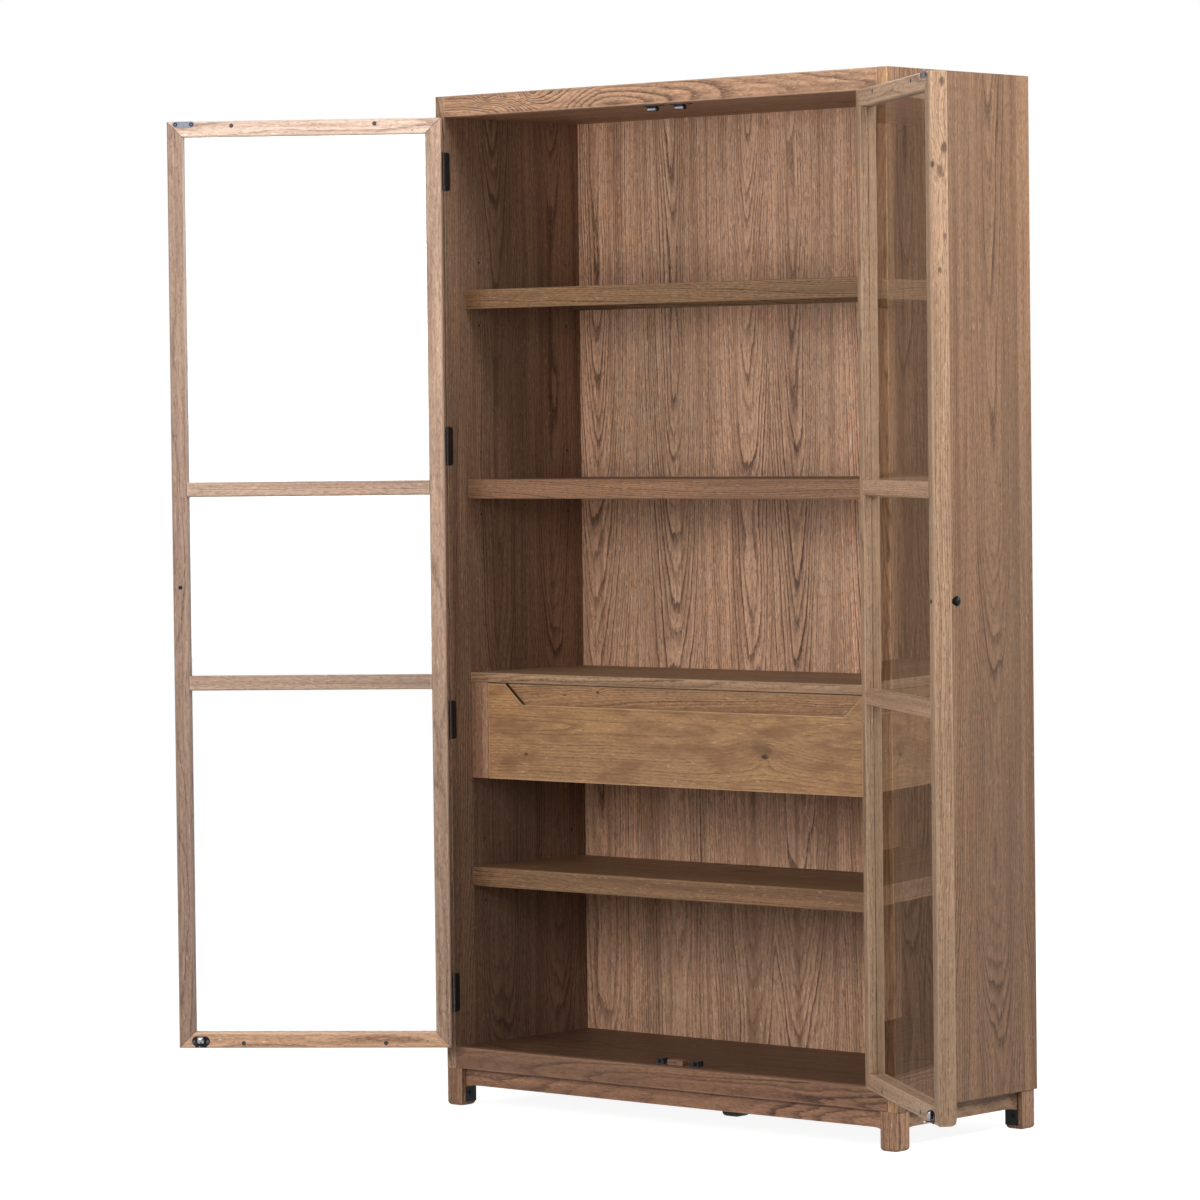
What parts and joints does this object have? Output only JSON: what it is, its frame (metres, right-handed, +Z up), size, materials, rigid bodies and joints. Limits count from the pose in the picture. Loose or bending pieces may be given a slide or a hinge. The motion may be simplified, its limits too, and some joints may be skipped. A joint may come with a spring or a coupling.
{
  "type": "bookcase with glass doors",
  "caption": "Tall oak bookcase on short legs, with loose shelves, a drawer with a cut-out pull, and mitred glazed doors that stand open on butt hinges.",
  "frame": {"origin": "centre of the case's footprint on the floor, at the bottom of the middle foot", "axes": "+X to the right as seen from the front, the front and its open doors at -Y, +Z up"},
  "size_m": [2.0687, 0.8336, 2.1],
  "materials": {
    "oak": "wire-brushed drifted oak, matt lacquer",
    "oak_veneer": "oak veneer, matt lacquer",
    "clear_glass": "clear float glass",
    "black_steel": "gloss black",
    "bright_steel": "zinc plated",
    "blued_steel": "satin",
    "black_plastic": "matt",
    "black_foot": "satin black"
  },
  "bodies": {
    "case": {"back_panel": "oak_veneer", "base_board": "oak", "base_rail": "oak", "centre_bearer": "oak", "centre_foot": "black_foot", "drawer_unit_base": "oak", "drawer_unit_posts": "oak", "drawer_unit_sides": "oak", "drawer_unit_top": "oak", "front_post_left": "oak", "front_post_right": "oak", "hinge_case_leaves": "black_steel", "hinge_pins": "bright_steel", "leg_bolts": "black_steel", "leg_brackets": "black_steel", "legs": "oak", "long_aprons": "oak", "magnet_catch_bodies": "black_plastic", "magnet_catch_poles": "blued_steel", "roller_catches": "black_plastic", "runner_fixed": "bright_steel", "shelf_pins": "bright_steel", "side_aprons": "oak", "side_panel_left": "oak", "side_panel_right": "oak", "stop_block": "oak", "top_board": "oak", "top_rail": "oak"},
    "left_door": {"left_door_bottom_rail": "oak", "left_door_catch_tongue": "blued_steel", "left_door_cover_caps": "black_plastic", "left_door_free_stile": "oak", "left_door_glass": "clear_glass", "left_door_hinge_leaves": "black_steel", "left_door_hinge_stile": "oak", "left_door_knob": "black_steel", "left_door_mid_rails": "oak", "left_door_strike_plate": "blued_steel", "left_door_top_rail": "oak"},
    "right_door": {"right_door_bottom_rail": "oak", "right_door_catch_tongue": "blued_steel", "right_door_cover_caps": "black_plastic", "right_door_free_stile": "oak", "right_door_glass": "clear_glass", "right_door_hinge_leaves": "black_steel", "right_door_hinge_stile": "oak", "right_door_knob": "black_steel", "right_door_mid_rails": "oak", "right_door_strike_plate": "blued_steel", "right_door_top_rail": "oak"},
    "drawer": {"drawer_back": "oak", "drawer_backing": "oak", "drawer_base": "oak", "drawer_face": "oak", "drawer_sides": "oak", "runner_inner": "bright_steel"},
    "runner_middle": {"runner_middle": "bright_steel"},
    "shelf_upper": {"shelf_upper": "oak"},
    "shelf_middle": {"shelf_middle": "oak"},
    "shelf_lower": {"shelf_lower": "oak"}
  },
  "joints": [
    {"name": "left_door_swing", "type": "hinge", "parent": "case", "child": "left_door", "pos_m": [-0.574, -0.2295, 0], "axis": [0, 0, -1], "range_deg": [-143.6, 31.4]},
    {"name": "right_door_swing", "type": "hinge", "parent": "case", "child": "right_door", "pos_m": [0.574, -0.2295, 0], "axis": [0, 0, 1], "range_deg": [-142.4, 32.6]},
    {"name": "drawer_slide", "type": "slide", "parent": "case", "child": "drawer", "axis": [0, -1, 0], "range_m": [0, 0.28]},
    {"name": "runner_middle_slide", "type": "slide", "parent": "case", "child": "runner_middle", "axis": [0, -1, 0], "range_m": [0, 0.14]},
    {"name": "shelf_upper_lift", "type": "slide", "parent": "case", "child": "shelf_upper", "axis": [0, 0, 1], "range_m": [0, 0.03]},
    {"name": "shelf_middle_lift", "type": "slide", "parent": "case", "child": "shelf_middle", "axis": [0, 0, 1], "range_m": [0, 0.03]},
    {"name": "shelf_lower_lift", "type": "slide", "parent": "case", "child": "shelf_lower", "axis": [0, 0, 1], "range_m": [0, 0.03]}
  ],
  "couplings": [
    {"joint": "runner_middle_slide", "follows": "drawer_slide", "ratio": 0.5}
  ]
}
